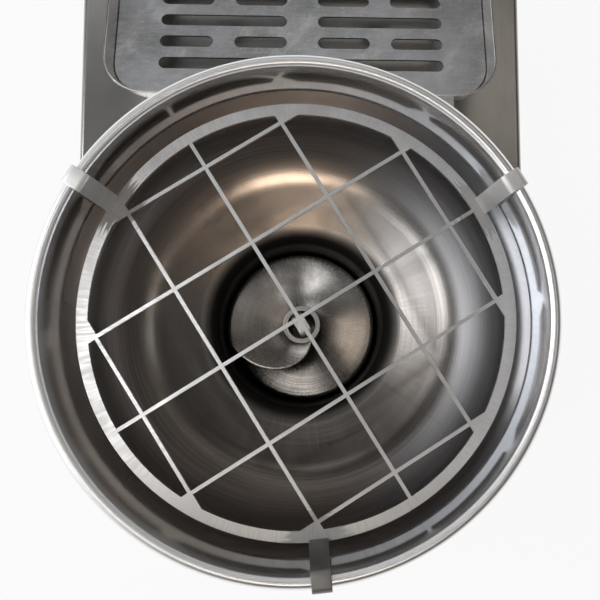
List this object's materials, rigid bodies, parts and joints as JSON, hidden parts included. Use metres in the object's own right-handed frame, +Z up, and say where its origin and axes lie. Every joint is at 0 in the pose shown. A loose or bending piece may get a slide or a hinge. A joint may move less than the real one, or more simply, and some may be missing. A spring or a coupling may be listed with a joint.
{
  "type": "auger-fed hopper machine",
  "caption": "Boxed stainless machine with a round hopper under a lift-off guard grid, a feed auger over a front nozzle, and a sloping slotted tray behind the hopper.",
  "frame": {"origin": "on the ground, under the middle of the overall box", "axes": "+X to the right, +Y to the back, +Z up; the nozzle points to -Y"},
  "size_m": [0.456, 0.6628, 0.5608],
  "materials": {
    "stainless_sheet": "brushed",
    "polished_stainless": "polished",
    "ground_stainless": "ground",
    "auger_stainless": "brushed",
    "fasteners": "plain",
    "machined_steel": "machined",
    "black_rubber": "matt",
    "white_gasket": "matt",
    "grey_casting": "cast",
    "stator_iron": "laminated",
    "bronze": "machined",
    "gland_brass": "plated",
    "bezel_metal": "polished",
    "black_plastic": "matt",
    "painted_box": "satin",
    "green_plastic": "gloss",
    "red_plastic": "gloss"
  },
  "bodies": {
    "base": {"feet": "black_rubber", "foot_studs": "fasteners", "base_plate": "stainless_sheet", "base_screws": "fasteners", "housing_shell": "stainless_sheet", "rear_panel": "stainless_sheet", "rear_screws": "fasteners", "cable_gland": "gland_brass", "plinth": "stainless_sheet", "tray_pan": "stainless_sheet", "barrel": "stainless_sheet", "barrel_floor": "stainless_sheet", "floor_bolts": "fasteners", "flange_gasket": "white_gasket", "flange_bolts": "fasteners", "outlet_pipe": "stainless_sheet", "outlet_grommet": "black_rubber", "nozzle": "auger_stainless", "nozzle_bolts": "fasteners", "bowl_collar": "stainless_sheet", "hopper_bowl": "polished_stainless", "rim_wire": "machined_steel", "shaft_seal": "black_rubber", "bearing_housing": "grey_casting", "housing_bolts": "fasteners", "upper_bearing": "machined_steel", "lower_bearing": "machined_steel", "gearbox_housing": "grey_casting", "gearbox_cover": "grey_casting", "gearbox_bolts": "fasteners", "worm_bearings": "machined_steel", "motor_frame": "grey_casting", "motor_bolts": "fasteners", "motor_stator": "stator_iron", "motor_end_shield": "grey_casting", "fan_cowl": "black_plastic", "control_box": "painted_box", "control_box_lid": "painted_box", "button_bezels": "bezel_metal", "switch_blocks": "black_plastic", "speed_regulator": "black_plastic"},
    "guard": {"guard_grid": "ground_stainless", "guard_hooks": "ground_stainless"},
    "auger": {"auger_flight": "auger_stainless", "auger_hub": "auger_stainless", "lift_bar": "auger_stainless"},
    "drive": {"drive_shaft": "machined_steel", "drive_pin": "machined_steel", "wheel_key": "machined_steel", "worm_wheel": "bronze"},
    "rotor": {"worm_shaft": "machined_steel", "motor_rotor": "machined_steel", "motor_fan": "black_plastic"},
    "tray_plate": {"slotted_plate": "stainless_sheet"},
    "start": {"start_button": "green_plastic"},
    "stop": {"stop_button": "red_plastic"},
    "knob": {"speed_knob": "black_plastic"}
  },
  "joints": [
    {"name": "worm_spin", "type": "hinge", "parent": "base", "child": "rotor", "pos_m": [0.052, -0.12825, 0.093], "axis": [0, 1, 0], "continuous": true},
    {"name": "auger_spin", "type": "hinge", "parent": "base", "child": "drive", "pos_m": [0, -0.12825, 0.3], "axis": [0, 0, 1], "continuous": true},
    {"name": "auger_lift", "type": "slide", "parent": "drive", "child": "auger", "axis": [0, 0, 1], "range_m": [0, 0.095]},
    {"name": "guard_lift", "type": "slide", "parent": "base", "child": "guard", "axis": [0, 0, 1], "range_m": [0, 0.15]},
    {"name": "plate_lift", "type": "slide", "parent": "base", "child": "tray_plate", "axis": [0, 0.213, 0.977], "range_m": [0, 0.08]},
    {"name": "start_press", "type": "slide", "parent": "base", "child": "start", "axis": [0, 1, 0], "range_m": [0, 0.003], "stiffness_N_per_m": 500},
    {"name": "stop_press", "type": "slide", "parent": "base", "child": "stop", "axis": [0, 1, 0], "range_m": [0, 0.003], "stiffness_N_per_m": 500},
    {"name": "speed_turn", "type": "hinge", "parent": "base", "child": "knob", "pos_m": [-0.105, -0.25425, 0.248], "axis": [0, 1, 0], "range_deg": [-135, 135]}
  ],
  "couplings": [
    {"joint": "auger_spin", "follows": "worm_spin", "ratio": -0.025}
  ]
}
